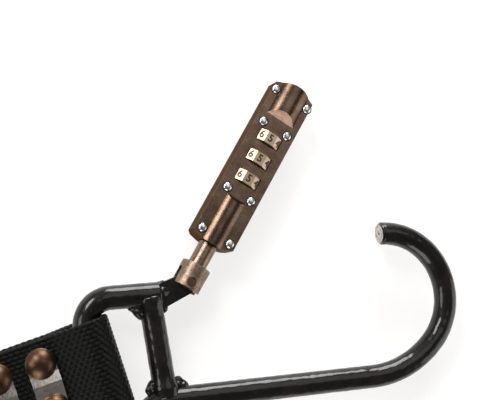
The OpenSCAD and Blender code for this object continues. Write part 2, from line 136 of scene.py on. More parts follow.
def coords(tree, stretch=None, turn=(0, 0, 0)):
    """Object coordinates in metres, stretched along chosen axes."""
    place = tree.nodes.new("ShaderNodeTexCoord")
    if stretch is None:
        return place.outputs["Object"]
    mapping = tree.nodes.new("ShaderNodeMapping")
    mapping.inputs["Rotation"].default_value = turn
    mapping.inputs["Scale"].default_value = stretch
    tree.links.new(place.outputs["Object"], mapping.inputs["Vector"])
    return mapping.outputs["Vector"]


def noise_at(tree, vector, per_metre, detail=3.0, rough=0.55):
    node = add(tree, "ShaderNodeTexNoise", Scale=per_metre, Detail=detail, Roughness=rough)
    tree.links.new(vector, node.inputs["Vector"])
    return node.outputs["Fac"]


def ramp(tree, fac, stops):
    """Colour or value ramp; each stop is (place, colour)."""
    node = tree.nodes.new("ShaderNodeValToRGB")
    tree.links.new(fac, node.inputs["Fac"])
    elements = node.color_ramp.elements
    while len(elements) < len(stops):
        elements.new(0.5)
    for element, (place, colour) in zip(elements, stops):
        element.position = place
        element.color = (*colour, 1) if hasattr(colour, "__len__") else (colour, colour, colour, 1)
    return node.outputs["Color"]


def bump(tree, shader, height, depth_mm, strength=1.0, before=None):
    node = add(tree, "ShaderNodeBump", Strength=strength, Distance=depth_mm * MM)
    tree.links.new(height, node.inputs["Height"])
    if before is not None:
        tree.links.new(before, node.inputs["Normal"])
    tree.links.new(node.outputs["Normal"], shader.inputs["Normal"])
    return node.outputs["Normal"]


def mix(tree, fac, a, b):
    node = tree.nodes.new("ShaderNodeMix")
    node.data_type = "RGBA"
    for key, value in (("Factor", fac), ("A", a), ("B", b)):
        socket = node.inputs[key]
        if hasattr(value, "is_linked"):
            tree.links.new(value, socket)
        else:
            socket.default_value = (*value, 1) if hasattr(value, "__len__") else value
    return node.outputs["Result"]


def powder_coat(name, lumps_mm, depth_mm, rough):
    """Black textured powder coat: soft lumps, fine grain and slightly brown worn patches."""
    mat, tree, shader = new_material(
        name, (0.006, 0.005, 0.0045), 0.0, rough, coat=0.8, coat_rough=0.12, spec=0.1)
    shader.inputs["Coat IOR"].default_value = 1.42
    at = coords(tree)
    lumps = noise_at(tree, at, 1 / (lumps_mm * MM), 2.0, 0.5)
    grain = noise_at(tree, at, 3400, 2.0, 0.6)
    patches = noise_at(tree, at, 120, 3.0, 0.6)
    colour = ramp(tree, patches, ((0.35, (0.003, 0.0026, 0.0024)), (0.7, (0.011, 0.008, 0.006))))
    tree.links.new(colour, shader.inputs["Base Color"])
    gloss = ramp(tree, grain, ((0.3, rough - 0.08), (0.75, rough + 0.16)))
    tree.links.new(gloss, shader.inputs["Roughness"])
    first = bump(tree, shader, lumps, depth_mm)
    bump(tree, shader, grain, 0.03, 0.8, first)
    return mat


BRUSH_DEPTH = 0.012


def brushed(name, dark, light, rough, along, metallic=1.0, grime=None, spread=0.12):
    """Plated or bare metal with fine brush lines along one axis, a drift of colour and spots of grime."""
    mat, tree, shader = new_material(name, light, metallic, rough)
    lines = noise_at(tree, coords(tree, *along), 2600, 2.0, 0.6)
    drift = noise_at(tree, coords(tree), 260, 3.0, 0.6)
    colour = ramp(tree, drift, ((0.3, dark), (0.68, light)))
    if grime is not None:
        spots = ramp(tree, noise_at(tree, coords(tree), 900, 4.0, 0.7), ((0.52, 0.0), (0.66, 1.0)))
        colour = mix(tree, spots, colour, grime)
    tree.links.new(colour, shader.inputs["Base Color"])
    gloss = ramp(tree, lines, ((0.3, rough - spread * 0.5), (0.7, rough + spread)))
    tree.links.new(gloss, shader.inputs["Roughness"])
    bump(tree, shader, lines, BRUSH_DEPTH)
    return mat


def webbing_material():
    """Black polyester weave with a fibre grain; its colour carries painted shade between the floats and a
    painted highlight along their tops.
    """
    mat, tree, shader = new_material("webbing_weave", (0.014, 0.014, 0.015), 0.0, 0.5, spec=0.1)
    uv = tree.nodes.new("ShaderNodeUVMap")
    uv.uv_map = "weave"
    split = tree.nodes.new("ShaderNodeSeparateXYZ")
    tree.links.new(uv.outputs["UV"], split.inputs["Vector"])

    def calc(op, a, b=None):
        node = tree.nodes.new("ShaderNodeMath")
        node.operation = op
        for socket, value in zip(node.inputs, (a, b)):
            if value is None:
                continue
            if hasattr(value, "is_linked"):
                tree.links.new(value, socket)
            else:
                socket.default_value = value
        return node.outputs[0]

    # UV.x counts floats along the strap and UV.y counts warp columns across it
    column = calc("FLOOR", split.outputs["Y"])
    across = calc("SUBTRACT", calc("MULTIPLY", calc("FRACT", split.outputs["Y"]), 2.0), 1.0)
    shift = calc("MULTIPLY", calc("MODULO", column, 2.0), 0.5)
    place = calc("FRACT", calc("ADD", split.outputs["X"], shift))
    along = calc("SUBTRACT", calc("MULTIPLY", place, 2.0), 1.0)
    oval = calc("SUBTRACT", calc("SUBTRACT", 1.0, calc("POWER", calc("ABSOLUTE", across), 2.6)),
                calc("POWER", calc("ABSOLUTE", along), 2.6))
    height = calc("MAXIMUM", oval, 0.0)
    fibre = noise_at(tree, coords(tree), 5200, 2.0, 0.6)
    fuzz = noise_at(tree, coords(tree), 420, 3.0, 0.6)
    # Painted shade in the gaps between floats and a painted highlight on their tops, set by float height
    painted_float_shading = ramp(tree, height, ((0.0, (0.0006, 0.0006, 0.0006)), (0.55, (0.0025, 0.0025, 0.0024)),
                                (0.95, (0.008, 0.0078, 0.0072))))
    worn = ramp(tree, fuzz, ((0.4, 0.0), (0.75, 0.35)))
    tree.links.new(mix(tree, worn, painted_float_shading, (0.006, 0.005, 0.004)), shader.inputs["Base Color"])
    tree.links.new(ramp(tree, fibre, ((0.3, 0.3), (0.7, 0.5))), shader.inputs["Roughness"])
    first = bump(tree, shader, height, 0.22, 0.8)
    bump(tree, shader, fibre, 0.03, 0.7, first)
    return mat


def case_metal(name, dark, light, rough):
    """Satin dark-bronze plating, mottled, with a slow drift of colour."""
    mat, tree, shader = new_material(name, light, 1.0, rough)
    shader.inputs["Specular Tint"].default_value = (0.55, 0.45, 0.38, 1)
    at = coords(tree)
    mottle = noise_at(tree, at, 1400, 3.0, 0.65)
    drift = noise_at(tree, at, 170, 3.0, 0.6)
    base = ramp(tree, drift, ((0.3, dark), (0.7, light)))
    tree.links.new(base, shader.inputs["Base Color"])
    gloss = ramp(tree, mottle, ((0.3, rough - 0.07), (0.75, rough + 0.12)))
    tree.links.new(gloss, shader.inputs["Roughness"])
    bump(tree, shader, mottle, 0.02)
    return mat


LOCK_TURN = (0, 0, -math.atan2(LOCK_AXIS.y, LOCK_AXIS.x))
ALONG_LOCK = ((0.06, 1, 1), LOCK_TURN)
STRAP_DIR = BAR_AXIS.cross(UP)
STRAP_TURN = (0, 0, -math.atan2(STRAP_DIR.y, STRAP_DIR.x))
ACROSS_STRAP = ((1, 0.08, 1), STRAP_TURN)

MAT = {
    "coat": powder_coat("black_powder_coat", 0.75, 0.16, 0.36),
    "weld": powder_coat("black_coat_on_weld", 0.9, 0.16, 0.42),
    "tang": powder_coat("black_coat_on_tang", 1.2, 0.06, 0.5),
    "bare": brushed("bare_cut_steel", (0.42, 0.38, 0.35), (0.62, 0.58, 0.54), 0.42, ((1, 1, 0.1),),
                    grime=(0.16, 0.13, 0.11)),
    # The pin is steel; its dark brown colour is painted shade of the recessed pin hole in the collar
    "pin": brushed("pin_steel", (0.1, 0.05, 0.032), (0.2, 0.12, 0.08), 0.35, ((1, 1, 1),)),
    "collar": brushed("collar_bronze", (0.2, 0.14, 0.1), (0.31, 0.23, 0.17), 0.4, ALONG_LOCK,
                      grime=(0.11, 0.07, 0.045), spread=0.16),
    "plunger": brushed("plunger_bronze", (0.17, 0.11, 0.08), (0.3, 0.21, 0.155), 0.3, ALONG_LOCK,
                       grime=(0.12, 0.07, 0.05)),
    "spring": brushed("spring_steel", (0.45, 0.45, 0.45), (0.62, 0.62, 0.62), 0.3, ALONG_LOCK),
    "case": case_metal("case_bronze", (0.05, 0.032, 0.022), (0.1, 0.066, 0.047), 0.38),
    "cover": case_metal("cover_bronze", (0.085, 0.052, 0.037), (0.165, 0.11, 0.08), 0.26),
    # Lighter bronze for the rounded edges of the cover and case: a painted highlight along those edges
    "edge": brushed("bronze_edge_painted_highlight", (0.5, 0.38, 0.29), (0.74, 0.6, 0.48), 0.4, ALONG_LOCK),
    "nickel": brushed("bright_nickel", (0.6, 0.6, 0.6), (0.85, 0.85, 0.84), 0.24, ((1, 1, 1),),
                      grime=(0.3, 0.27, 0.25), spread=0.08),
    # Near black for the discs round the cover rivets: painted shade of their countersinks
    "seat": new_material("dark_seat", (0.012, 0.009, 0.008), 0.0, 0.6)[0],
    "brass": brushed("plain_brass", (0.5, 0.36, 0.17), (0.72, 0.55, 0.3), 0.3, ALONG_LOCK),
    "wheel": brushed("wheel_plate", (0.32, 0.22, 0.14), (0.54, 0.42, 0.3), 0.3, ((1, 1, 1),), metallic=0.92,
                     grime=(0.4, 0.3, 0.2)),
    "digit": new_material("digit_paint", (0.02, 0.013, 0.009), 0.0, 0.45)[0],
    "plate": brushed("clamp_plate_steel", (0.76, 0.68, 0.6), (0.93, 0.87, 0.81), 0.12, ACROSS_STRAP,
                     spread=0.1),
    "dome": brushed("dome_bronze", (0.075, 0.04, 0.024), (0.12, 0.07, 0.043), 0.36, ((1, 1, 1),),
                    grime=(0.075, 0.038, 0.022), spread=0.08),
    "webbing": webbing_material(),
}

# ---------- mesh helpers ----------


def piece(name, verts, faces, body, mats, replaced=(), marks=None, smooth=True):
    """A new mesh in metres that rides on a body. marks gives each face's material number."""
    mesh = bpy.data.meshes.new(name)
    mesh.from_pydata([tuple(v) for v in verts], [], faces)
    for mat in mats:
        mesh.materials.append(MAT[mat])
    if marks is not None:
        mesh.polygons.foreach_set("material_index", marks)
    mesh.polygons.foreach_set("use_smooth", [smooth] * len(mesh.polygons))
    mesh.update()
    obj = bpy.data.objects.new(name, mesh)
    bpy.context.scene.collection.objects.link(obj)
    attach(obj, body)
    if replaced:
        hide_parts(*replaced)
    return obj


def mesh_of(source):
    """The mesh that an object makes with its modifiers. The object itself is removed."""
    depsgraph = bpy.context.evaluated_depsgraph_get()
    mesh = bpy.data.meshes.new_from_object(source.evaluated_get(depsgraph))
    bpy.data.objects.remove(source)
    return mesh


def arc(c, r, a, b, step=0.9):
    """Points of an arc about c from angle a to angle b, in degrees, a step apart."""
    count = max(2, round(abs(math.radians(b - a)) * r / step))
    turns = [math.radians(a + (b - a) * i / count) for i in range(count + 1)]
    return [(c[0] + r * math.cos(t), c[1] + r * math.sin(t)) for t in turns]


def line(p, q, step=0.9):
    count = max(1, round(math.dist(p, q) / step))
    return [(p[0] + (q[0] - p[0]) * i / count, p[1] + (q[1] - p[1]) * i / count)
            for i in range(count + 1)]


def joined(*paths):
    """One path from several, without the points that repeat where they meet."""
    out = []
    for path in paths:
        for p in path:
            if not out or math.dist(out[-1], p) > 0.2:
                out.append(p)
    return out


def hammered(p, amount):
    """Uneven surface of textured powder coat: broad lumps and smaller dimples, in millimetres."""
    lumps = noise.noise(Vector(p) * 0.42)
    dimples = noise.noise(Vector(p) * 0.95 + Vector((7, 3, 1)))
    return amount * (0.6 * lumps + 0.4 * dimples)


def rod_mesh(path, radius, sides=ROD_SIDES, rough=0.16, start_cap=()):
    """Vertices and faces of a round rod along a flat path, in millimetres, with a textured skin.
    radius is a number, or a function of the distance along the rod. start_cap shrinks each ring of
    the first end's face from the one before."""
    verts, faces = [], []
    run = 0.0
    for i, p in enumerate(path):
        if i:
            run += math.dist(path[i - 1], p)
        q0, q1 = path[max(i - 1, 0)], path[min(i + 1, len(path) - 1)]
        t = Vector((q1[0] - q0[0], q1[1] - q0[1])).normalized()
        r = radius(run) if callable(radius) else radius
        for k in range(sides):
            a = 2 * math.pi * k / sides
            d = Vector((-t.y * math.cos(a), t.x * math.cos(a), math.sin(a)))
            at = Vector((p[0], p[1], 0)) + d * r
            verts.append(at + d * (hammered(at, rough) - rough * 0.35))
    for i in range(len(path) - 1):
        for k in range(sides):
            n = (k + 1) % sides
            faces.append((i * sides + k, i * sides + n, (i + 1) * sides + n, (i + 1) * sides + k))
    ring = list(range(sides))
    centre = Vector((path[0][0], path[0][1], 0))
    for shrink in start_cap:
        new = list(range(len(verts), len(verts) + sides))
        verts += [centre + (verts[k] - centre) * shrink for k in ring]
        for k in range(sides):
            n = (k + 1) % sides
            faces.append((ring[n], new[n], new[k], ring[k]))
        ring = new
    faces.append(tuple(ring[::-1]))
    faces.append(tuple((len(path) - 1) * sides + k for k in range(sides)))
    return verts, faces


def placed(matrix, verts):
    return [matrix @ Vector(v) for v in verts]


def lathe(profile, segments=56):
    """Surface turned about Z from (radius, height) points, closed at both ends."""
    verts, faces = [], []
    for r, z in profile:
        for k in range(segments):
            a = 2 * math.pi * k / segments
            verts.append(Vector((r * math.cos(a), r * math.sin(a), z)))
    for i in range(len(profile) - 1):
        for k in range(segments):
            n = (k + 1) % segments
            low, high = i * segments, (i + 1) * segments
            faces.append((low + k, low + n, high + n, high + k))
    faces.append(tuple(range(segments))[::-1])
    faces.append(tuple(range((len(profile) - 1) * segments, len(profile) * segments)))
    return verts, faces


def gather(parts):
    """One vertex list and face list from several (verts, faces) pairs."""
    verts, faces = [], []
    for part_verts, part_faces in parts:
        base = len(verts)
        verts += part_verts
        faces += [tuple(i + base for i in f) for f in part_faces]
    return verts, faces


def moved(part, offset, flip=False):
    verts, faces = part
    sign = -1 if flip else 1
    out = [Vector((v.x, v.y, sign * v.z)) + Vector(offset) for v in verts]
    return out, ([f[::-1] for f in faces] if flip else faces)


# ---------- welded rods ----------


def hook_path():
    bar_dir = (math.sin(math.radians(BAR_LEAN)), -math.cos(math.radians(BAR_LEAN)))
    side = (math.cos(math.radians(BAR_LEAN)), math.sin(math.radians(BAR_LEAN)))
    turn = math.radians(FOOT_TURN)
    top = (CORNER_C[0] - CORNER_R * side[0], CORNER_C[1] - CORNER_R * side[1])
    foot_end = (FOOT_X - FOOT_R * math.sin(turn), -FOOT_R * (1 - math.cos(turn)))
    low_turn = (LOW_R * math.sin(turn), -LOW_R * math.cos(turn))
    gap = [foot_end[i] - top[i] - LOW_R * side[i] - low_turn[i] for i in (0, 1)]
    length = (gap[0] * math.sin(turn) - gap[1] * math.cos(turn)) / (
        bar_dir[0] * math.sin(turn) - bar_dir[1] * math.cos(turn))
    low = (top[0] + length * bar_dir[0], top[1] + length * bar_dir[1])
    low_c = (low[0] + LOW_R * side[0], low[1] + LOW_R * side[1])
    return joined(
        arc(HOOK_C, HOOK_R, TIP_ANGLE, -45),
        arc(HEEL_C, HEEL_R, -45, -90),
        line((HEEL_C[0], 0), (FOOT_X, 0)),
        arc((FOOT_X, -FOOT_R), FOOT_R, 90, 90 + FOOT_TURN),
        line(foot_end, (low_c[0] + low_turn[0], low_c[1] + low_turn[1])),
        arc(low_c, LOW_R, 270 + FOOT_TURN, 180 + BAR_LEAN),
        line(low, top),
        arc(CORNER_C, CORNER_R, 180 + BAR_LEAN, 90),
        line((CORNER_C[0], RING_H), (-2, RING_H)),
    )


# How far each ring of the tip's cut face shrinks from the one before
TIP_CAP = (0.985, 0.93, 0.86, 0.6, 0.3)


def build_rods():
    def tip_radius(run):
        return ROD_R - 0.9 * max(0.0, 1 - run / 0.9) ** 2

    path = hook_path()
    verts, faces = rod_mesh(path, tip_radius, start_cap=TIP_CAP)
    # The tip's cut face is bare steel from its second ring inwards
    cap_from = (len(path) - 1) * ROD_SIDES
    cap_to = cap_from + len(TIP_CAP) * ROD_SIDES
    marks = [int(cap_from + ROD_SIDES <= i <= cap_to) for i in range(len(faces))]
    piece("hook_rod_skin", placed(RODS, verts), faces, "hook_frame", ["coat", "bare"],
          ["hook_rod"], marks)

    length = math.dist(CROSS_FOOT, CROSS_TOP)

    def flared(run):
        near = min(run, length - run) - 4.6
        return ROD_R - 0.1 + 0.9 * math.exp(-max(near, 0) / 1.6)

    verts, faces = rod_mesh(line(CROSS_FOOT, CROSS_TOP)[1:-1], flared)
    piece("cross_bar_skin", placed(RODS, verts), faces, "hook_frame", ["coat"],
          ["cross_bar"])


def build_welds():
    """Weld metal as overlapping blobs, joined by a voxel remesh into one uneven skin."""
    blobs = []

    def run_of(p, q, r, count):
        for i in range(count):
            t = i / max(count - 1, 1)
            wobble = noise.noise(Vector((p[0] + i * 3.7, p[1], r)))
            at = (p[0] + (q[0] - p[0]) * t, p[1] + (q[1] - p[1]) * t, 0.5 * wobble)
            blobs.append((*at, r * (1 + 0.14 * wobble)))

    # Gusset of weld in the corner of the top bar and the cross bar
    run_of((-13.9, 38.4), (-10.4, 34.6), 1.7, 6)
    run_of((-12.6, 39.4), (-9.2, 35.8), 2.6, 5)
    # Both sides of the cross bar's foot
    run_of((-9.3, 4.6), (-7.5, 7.2), 1.8, 4)
    run_of((-8.2, 3.4), (-6.8, 6.4), 2.2, 4)
    run_of((3.2, 7.6), (5.9, 5.0), 1.8, 5)
    run_of((2.8, 5.6), (4.6, 4.6), 2.4, 4)
    # Run round the tang's root and the end of the top bar
    run_of((-3.0, 40.6), (-1.2, 37.2), 2.6, 5)
    run_of((-6.4, 44.2), (-1.4, 43.6), 3.6, 6)
    run_of((-3.4, 45.6), (-0.2, 46.4), 2.2, 6)
    run_of((-2.4, 43.4), (0.6, 43.6), 3.0, 6)
    run_of((-2.4, 41.2), (0.9, 41.2), 2.4, 5)
    bm = bmesh.new()
    for x, y, z, r in blobs:
        bmesh.ops.create_icosphere(bm, subdivisions=2, radius=r * MM,
                                   matrix=Matrix.Translation(RODS @ Vector((x, y, z))))
    mesh = bpy.data.meshes.new("weld_source")
    bm.to_mesh(mesh)
    bm.free()
    source = bpy.data.objects.new("weld_source", mesh)
    bpy.context.scene.collection.objects.link(source)
    remesh = source.modifiers.new("one_skin", "REMESH")
    remesh.mode, remesh.voxel_size = "VOXEL", 0.32 * MM
    smooth = source.modifiers.new("soften", "SMOOTH")
    smooth.iterations, smooth.factor = 10, 0.5
    baked = mesh_of(source)
    verts = []
    for v in baked.vertices:
        bulge = noise.noise(v.co * 700) * 0.2 + noise.noise(v.co * 2300) * 0.08
        verts.append(v.co + v.normal * bulge * MM)
    faces = [tuple(p.vertices) for p in baked.polygons]
    piece("weld_metal", verts, faces, "hook_frame", ["weld"], ["weld_beads"])


# ---------- lock ----------


def build_digits():
    """The ten figures round each wheel, a hair above its facets. 5 faces up at rest."""
    for index, c in enumerate(WHEEL_C):
        parts = []
        for step in range(10):
            curve = bpy.data.curves.new("figure", "FONT")
            curve.body = str((5 + step) % 10)
            curve.size = 4.5
            curve.align_x, curve.align_y = "CENTER", "CENTER"
            curve.extrude, curve.offset, curve.resolution_u = 0.04, 0.14, 3
            text = bpy.data.objects.new("figure", curve)
            bpy.context.scene.collection.objects.link(text)
            mesh = mesh_of(text)
            # The figure's right is the case's -Y, its up is the case's +X
            stand = Matrix(((0, 1, 0, c), (-1, 0, 0, 0), (0, 0, 1, WHEEL_FLAT + 0.02), (0, 0, 0, 1)))
            turn = Matrix.Rotation(math.radians(-36 * step), 4, "X")
            parts.append(([turn @ stand @ v.co for v in mesh.vertices],
                          [tuple(p.vertices) for p in mesh.polygons]))
            bpy.data.meshes.remove(mesh)
        verts, faces = gather(parts)
        piece(f"figures_{index + 1}", placed(CASE, verts), faces, f"wheel_{index + 1}",
              ["digit"], smooth=False)


def build_cover_rivets():
    """Small domed rivets, each ringed by a thin dark disc that paints the shade of its countersink."""
    head = lathe([(0.3, -0.3), (1.78, -0.3), (1.9, 0.0), (1.84, 0.22), (1.6, 0.5), (1.2, 0.74), (0.7, 0.86),
                  (0.2, 0.9)], 32)
    # A thin dark disc under each head, painted shade where a countersink would be
    seat = lathe([(1.7, 0.01), (2.28, 0.01), (2.3, 0.05), (2.18, 0.08), (1.75, 0.07)], 32)
    heads, seats = [], []
    for c, y in RIVET_ROWS:
        for side in (-1, 1):
            at = (c, side * y, COVER_RISE)
            heads.append(moved(head, at))
            seats.append(moved(seat, at))
    verts, faces = gather(heads)
    piece("cover_rivet_heads", placed(CASE, verts), faces, "lock_case", ["nickel"],
          ["cover_rivets"])
    verts, faces = gather(seats)
    piece("rivet_seats", placed(CASE, verts), faces, "lock_case", ["seat"])


# ---------- strap ----------


def spiral_arms():
    """Centre lines of the doubled strap's two arms, from the fold at the middle outwards."""
    pitch = 5.4
    first_r, second_r = ROLL_R - LAYER, ROLL_R - 0.1
    first_from, second_from = -90.0, 22.0
    turns = 4.35 * 360
    z0 = ROLL_R - PLANE_Z

    def at(r, a):
        return (ROLL_U + r * math.cos(math.radians(a)), z0 + r * math.sin(math.radians(a)))

    inner = first_from + turns
    step = 2.0
    first, second = [], []
    a = first_from
    while a < inner:
        r = first_r - pitch * (a - first_from) / 360
        first.append(at(r, a))
        a += step * 57.3 / r
    first.append(at(first_r - pitch * turns / 360, inner))
    a = second_from
    while a < inner:
        r = second_r - pitch * (a - second_from) / 360
        second.append(at(r, a))
        a += step * 57.3 / r
    end_r = second_r - pitch * (inner - second_from) / 360
    second.append(at(end_r, inner))
    return first, second, (first[-1], second[-1])


def strap_centre_line():
    """The whole strap edge on, as (u, z) points, in five stretches: from its free end round the hook's
    bar to the roll, in to the roll's middle, the fold there, out again, and on round the end ring."""
    ground = -PLANE_Z + LAYER
    near = (
        line((STACK_END, LAYER), (STACK_START, LAYER), 0.65)
        + line((STACK_START, LAYER + 0.2), (4.6, 7.9), 0.65)[1:]
        + arc((0, 0), LOOP_R, 60, 300, 0.65)[1:]
        + line((4.6, -7.9), (STACK_START, -LAYER - 0.2), 0.65)[1:]
        + line((STACK_START, -LAYER), (STACK_END + 1, -LAYER), 0.65)[1:]
        + line((STACK_END + 2, -LAYER - 0.2), (74.0, ground), 0.65)
        + line((76.0, ground), (ROLL_U, ground), 0.65)
    )
    first, second, (p, q) = spiral_arms()
    centre = ((p[0] + q[0]) / 2, (p[1] + q[1]) / 2)
    r = math.dist(p, q) / 2
    start = math.atan2(p[1] - centre[1], p[0] - centre[0])
    turns = [start + math.pi * i / 6 for i in range(1, 6)]
    fold = [(centre[0] + r * math.cos(t), centre[1] + r * math.sin(t)) for t in turns]
    # Far stack, in the same (u, z), measured back from the end ring's bar
    bar_u, bar_z = ROLL_U + FAR_BAR, END_Z - PLANE_Z

    def far(x, z):
        return (bar_u - x, bar_z + z)

    low = -END_Z + LAYER
    exit_u, exit_z = second[0]
    down = far(66.0, low)
    tail = (
        line((exit_u, exit_z), (down[0] - 3, down[1] + 4), 1.3)
        + line(far(63.5, low), far(61.0, low), 0.9)
        + line(far(STACK_END + 1, -LAYER), far(STACK_START, -LAYER), 0.9)
        + line(far(STACK_START, -LAYER - 0.1), far(3.1, -5.4), 0.9)[1:]
        + [far(*p) for p in arc((0, 0), RING_LOOP_R, 300, 60, 0.9)[1:]]
        + line(far(3.1, 5.4), far(STACK_START, LAYER + 0.1), 0.9)[1:]
        + line(far(STACK_START, LAYER), far(STACK_END, LAYER), 0.9)[1:]
    )
    return near, first, fold, second[::-1], tail


def smoothed(points, passes):
    """Points eased towards their neighbours, which rounds the corners where stretches meet."""
    for _ in range(passes):
        points = [points[0]] + [
            ((a[0] + 2 * b[0] + c[0]) / 4, (a[1] + 2 * b[1] + c[1]) / 4)
            for a, b, c in zip(points, points[1:], points[2:])
        ] + [points[-1]]
    return points


def respaced(points, steps):
    """Points along a polyline; steps(run) gives the wanted spacing at a distance along it."""
    out, run, want = [points[0]], 0.0, steps(0.0)
    spots = [0.0]
    for p, q in zip(points, points[1:]):
        gap = math.dist(p, q)
        while gap > 1e-9 and run + gap >= want:
            t = (want - run) / gap
            out.append((p[0] + (q[0] - p[0]) * t, p[1] + (q[1] - p[1]) * t))
            spots.append(want)
            want += steps(want)
        run += gap
    return out, spots, run


# Length of one float of the weave, the columns of warp across the strap, and how square a float is
FLOAT_L = 2.6
COLUMNS = 22
SQUARENESS = 2.6
# How far along the roll's outer turns the finer mesh reaches, from either end
OUTER_TURN = 215.0


def weave_height(along, column_place):
    """Height of the weave's float at a place counted in floats along and columns across, from 0 to 1."""
    column = math.floor(column_place)
    across = 2 * (column_place - column) - 1
    s = along + 0.5 * (column % 2)
    lengthwise = 2 * (s - math.floor(s)) - 1
    return max(0.0, 1 - abs(across) ** SQUARENESS - abs(lengthwise) ** SQUARENESS)


def build_webbing():
    near, first, fold, second, tail = strap_centre_line()
    points = smoothed(near + first[1:] + fold + second + tail[1:], 3)
    near_run = sum(math.dist(a, b) for a, b in zip(near, near[1:]))
    whole = sum(math.dist(a, b) for a, b in zip(points, points[1:]))
    tail_run = sum(math.dist(a, b) for a, b in zip(tail, tail[1:]))

    def grade(run):
        if run < near_run - 20:
            return 0
        if run < near_run + OUTER_TURN or run > whole - tail_run - OUTER_TURN:
            return 1
        return 2

    points, spots, _ = respaced(points, lambda run: (0.65, 1.3, 2.6)[grade(run)])
    # Places across the strap, from one edge to the other, for each grade of detail
    cells = (88, 44, 10)
    rows = [[STRAP_W * (i / n - 0.5) for i in range(n + 1)] for n in cells]
    lift = (0.2, 0.17, 0.0)
    verts, faces, uvs = [], [], []
    rings = []
    for i, ((u, z), s) in enumerate(zip(points, spots)):
        g = grade(s)
        a, b = points[max(i - 1, 0)], points[min(i + 1, len(points) - 1)]
        t = Vector((b[0] - a[0], b[1] - a[1])).normalized()
        normal = (-t.y, t.x)
        along = s / FLOAT_L
        # The lower layer of the near stack lies a little to one side of the upper one
        swap, fade = min(max((s - 38) / 30, 0), 1), min(1.0, max(0.0, (150 - s) / 60))
        drift = 0.4 * (1 - 2 * swap) * fade if s < 150 else 0
        wander = 0.25 * noise.noise(Vector((s * 0.06, 4, 2)))
        ring = []
        for face in (1, -1):
            row = rows[g] if face == 1 else rows[g][::-1]
            for k, v in enumerate(row):
                place = (v / STRAP_W + 0.5) * COLUMNS
                edge = min(1.0, (STRAP_W / 2 - abs(v)) / 1.0)
                half = WEB_T / 2 * (0.45 + 0.55 * math.sqrt(max(0.0, 1 - (1 - edge) ** 2)))
                inner = min(place, COLUMNS - 0.001)
                h = lift[g] * (weave_height(along + (0.25 if face < 0 else 0), inner) - 0.45)
                h += 0.05 * noise.noise(Vector((s * 0.8, v * 1.1, face)))
                off = face * (half + h * edge)
                out = v + drift + wander + (0.12 * math.sin(2 * math.pi * along) * (1 - edge))
                ring.append(len(verts))
                verts.append(Vector((u + normal[0] * off, out, z + normal[1] * off)))
                uvs.append((along, place))
        rings.append((g, ring))
    for (g0, a), (g1, b) in zip(rings, rings[1:]):
        if g0 == g1:
            n = len(a)
            faces += [(a[k], b[k], b[(k + 1) % n], a[(k + 1) % n]) for k in range(n)]
            continue
        # Between two grades, each face takes all the finer ring's points that lie along it
        fine, coarse, flip = (a, b, False) if len(a) > len(b) else (b, a, True)
        fine_n, coarse_n = len(fine) // 2, len(coarse) // 2
        for side in (0, 1):
            f = fine[side * fine_n:(side + 1) * fine_n]
            c = coarse[side * coarse_n:(side + 1) * coarse_n]
            for k in range(coarse_n - 1):
                lo = round(k * (fine_n - 1) / (coarse_n - 1))
                hi = round((k + 1) * (fine_n - 1) / (coarse_n - 1))
                loop = f[lo:hi + 1] + [c[k + 1], c[k]]
                faces.append(tuple(loop if flip else loop[::-1]))
            nf, nc = fine[((side + 1) % 2) * fine_n], coarse[((side + 1) % 2) * coarse_n]
            loop = [f[-1], nf, nc, c[-1]]
            faces.append(tuple(loop if flip else loop[::-1]))
    faces.append(tuple(rings[0][1]))
    faces.append(tuple(rings[-1][1][::-1]))
    strip = piece("webbing_strap", placed(STRAP, verts), faces, "strap", ["webbing"],
                  ["webbing_loop", "webbing_run", "webbing_roll", "webbing_tail"])
    layer = strip.data.uv_layers.new(name="weave")
    for loop in strip.data.loops:
        layer.data[loop.index].uv = uvs[loop.vertex_index]
    print(f"strap's length {whole:.0f} mm, {len(faces)} faces")


def build_big_rivets():
    """Domed heads with a thin rolled rim on the plates, and low heads on the back."""
    ball = (DOME_R ** 2 + DOME_H ** 2) / (2 * DOME_H)
    reach = math.asin((DOME_R - 0.15) / ball)
    crown = [(ball * math.sin(reach * t), ball * math.cos(reach * t) - ball + DOME_H)
             for t in [1 - i / 14 for i in range(14)] + [0.02]]
    rim = [(DOME_R - 0.9, -0.05), (DOME_R - 0.2, -0.05), (DOME_R, 0.1), (DOME_R - 0.02, 0.22)]
    dome = lathe(rim + crown)
    back = lathe([(3.6, -0.05), (4.4, 0.0), (4.6, 0.25), (4.4, 0.62), (3.8, 1.0), (2.9, 1.28), (1.6, 1.45),
                  (0.2, 1.5)], 40)
    for name, matrix, node in (("clamp", STRAP, "clamp_rivets"), ("end", FAR, "end_rivets")):
        parts = []
        for u in RIVET_U:
            for side in (-1, 1):
                parts.append(moved(dome, (u, side * RIVET_V, HEAD_Z)))
                parts.append(moved(back, (u, side * RIVET_V, -HEAD_Z), flip=True))
        verts, faces = gather(parts)
        piece(f"{name}_dome_rivets", placed(matrix, verts), faces, "strap",
              ["dome"], [node])


